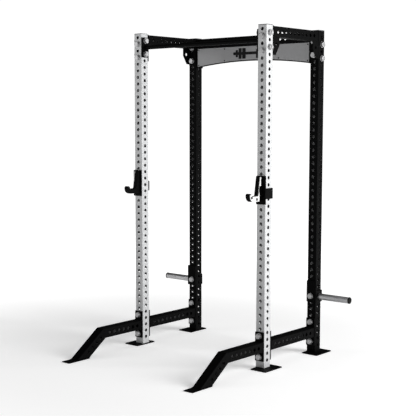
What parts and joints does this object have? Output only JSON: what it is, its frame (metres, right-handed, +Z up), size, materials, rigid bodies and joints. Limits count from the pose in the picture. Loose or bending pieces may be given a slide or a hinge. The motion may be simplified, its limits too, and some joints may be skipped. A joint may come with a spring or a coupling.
{
  "type": "power cage",
  "caption": "Free-standing power cage of square, hole-patterned steel uprights with a pull-up bar, sloping front legs, J-cups for a barbell and pegs for spare plates.",
  "frame": {"origin": "on the floor, under the centre of the cage's outer box", "axes": "+X to the lifter's right, across the cage; +Y from the open front towards the crossmember; +Z up along the uprights"},
  "size_m": [1.81, 1.575, 2.42],
  "materials": {
    "silver_coat": "silver powder coat, semi-matt, fine orange-peel",
    "black_coat": "black powder coat, matt, fine texture",
    "zinc_bolts": "bright zinc plating",
    "peg_steel": "plain zinc-plated tube, slightly dull",
    "grey_panel": "grey satin sheet steel",
    "cup_liner": "white hard-wearing polyethylene",
    "end_caps": "dark grey moulded plastic"
  },
  "bodies": {
    "cage": {"front_left_cap": "end_caps", "front_left_foot_plate": "black_coat", "front_left_upright": "silver_coat", "front_right_cap": "end_caps", "front_right_foot_plate": "black_coat", "front_right_upright": "silver_coat", "left_bar_bolt_lower": "zinc_bolts", "left_bar_bolt_upper": "zinc_bolts", "left_base_beam": "black_coat", "left_base_bolt_lower": "zinc_bolts", "left_base_bolt_upper": "zinc_bolts", "left_crossmember_bolt_lower": "zinc_bolts", "left_crossmember_bolt_upper": "zinc_bolts", "left_front_leg": "black_coat", "left_leg_bolt_lower": "zinc_bolts", "left_leg_bolt_upper": "zinc_bolts", "left_peg": "peg_steel", "left_peg_bolt": "zinc_bolts", "left_peg_bracket": "black_coat", "left_peg_cap": "end_caps", "left_top_beam": "black_coat", "left_top_front_bolt_lower": "zinc_bolts", "left_top_front_bolt_upper": "zinc_bolts", "left_top_rear_bolt_lower": "zinc_bolts", "left_top_rear_bolt_upper": "zinc_bolts", "nameplate": "grey_panel", "pull_up_bar": "black_coat", "rear_crossmember": "black_coat", "rear_left_cap": "end_caps", "rear_left_foot_plate": "black_coat", "rear_left_upright": "black_coat", "rear_right_cap": "end_caps", "rear_right_foot_plate": "black_coat", "rear_right_upright": "black_coat", "right_bar_bolt_lower": "zinc_bolts", "right_bar_bolt_upper": "zinc_bolts", "right_base_beam": "black_coat", "right_base_bolt_lower": "zinc_bolts", "right_base_bolt_upper": "zinc_bolts", "right_crossmember_bolt_lower": "zinc_bolts", "right_crossmember_bolt_upper": "zinc_bolts", "right_front_leg": "black_coat", "right_leg_bolt_lower": "zinc_bolts", "right_leg_bolt_upper": "zinc_bolts", "right_peg": "peg_steel", "right_peg_bolt": "zinc_bolts", "right_peg_bracket": "black_coat", "right_peg_cap": "end_caps", "right_top_beam": "black_coat", "right_top_front_bolt_lower": "zinc_bolts", "right_top_front_bolt_upper": "zinc_bolts", "right_top_rear_bolt_lower": "zinc_bolts", "right_top_rear_bolt_upper": "zinc_bolts"},
    "left_cup": {"left_cup_bracket": "black_coat", "left_cup_liner": "cup_liner", "left_cup_pin": "zinc_bolts"},
    "right_cup": {"right_cup_bracket": "black_coat", "right_cup_liner": "cup_liner", "right_cup_pin": "zinc_bolts"}
  },
  "joints": [
    {"name": "left_cup_slide", "type": "slide", "parent": "cage", "child": "left_cup", "axis": [-1, 0, 0], "range_m": [0, 0.12]},
    {"name": "right_cup_slide", "type": "slide", "parent": "cage", "child": "right_cup", "axis": [1, 0, 0], "range_m": [0, 0.12]}
  ]
}
